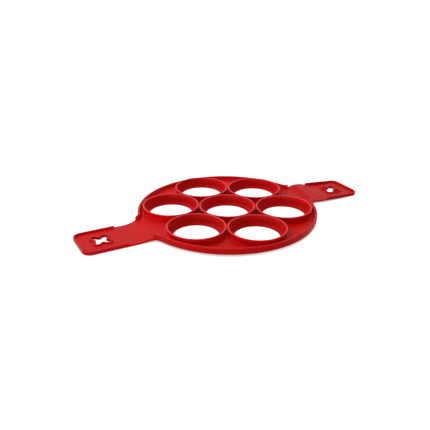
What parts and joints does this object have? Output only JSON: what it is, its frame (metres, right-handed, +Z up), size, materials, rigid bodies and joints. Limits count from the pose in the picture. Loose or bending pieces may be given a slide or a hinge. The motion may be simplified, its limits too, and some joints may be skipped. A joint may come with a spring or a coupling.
{
  "type": "omelette mould",
  "caption": "Round silicone mould for omelettes and pancakes: ring openings with sealing lips in a rimmed plate, and a flexible flat handle with a cross-shaped hole on each side.",
  "frame": {"origin": "on the table, under the middle of the centre ring", "axes": "+X along the right handle, +Y to the back, +Z up out of the rings"},
  "size_m": [0.3786, 0.2208, 0.0124],
  "materials": {
    "red_silicone": "satin"
  },
  "bodies": {
    "mould": {"base_plate": "red_silicone", "rim_front": "red_silicone", "rim_back": "red_silicone", "ring_centre": "red_silicone", "ring_right": "red_silicone", "ring_back_right": "red_silicone", "ring_back_left": "red_silicone", "ring_left": "red_silicone", "ring_front_left": "red_silicone", "ring_front_right": "red_silicone"},
    "left_neck": {"neck_left": "red_silicone"},
    "left_grip": {"grip_left": "red_silicone"},
    "right_neck": {"neck_right": "red_silicone"},
    "right_grip": {"grip_right": "red_silicone"}
  },
  "joints": [
    {"name": "right_neck_bend", "type": "hinge", "parent": "mould", "child": "right_neck", "pos_m": [0.11405, 0, 0.00266], "axis": [0, -1, 0], "range_deg": [-45, 60], "stiffness_Nm_per_rad": 0.008},
    {"name": "right_grip_bend", "type": "hinge", "parent": "right_neck", "child": "right_grip", "pos_m": [0.12705, 0, 0.00095], "axis": [0, -1, 0], "range_deg": [-45, 60], "stiffness_Nm_per_rad": 0.008},
    {"name": "left_neck_bend", "type": "hinge", "parent": "mould", "child": "left_neck", "pos_m": [-0.11405, 0, 0.00266], "axis": [0, 1, 0], "range_deg": [-45, 60], "stiffness_Nm_per_rad": 0.008},
    {"name": "left_grip_bend", "type": "hinge", "parent": "left_neck", "child": "left_grip", "pos_m": [-0.12705, 0, 0.00095], "axis": [0, 1, 0], "range_deg": [-45, 60], "stiffness_Nm_per_rad": 0.008}
  ],
  "couplings": [
    {"joint": "right_grip_bend", "follows": "right_neck_bend", "ratio": 1},
    {"joint": "left_grip_bend", "follows": "left_neck_bend", "ratio": 1}
  ]
}
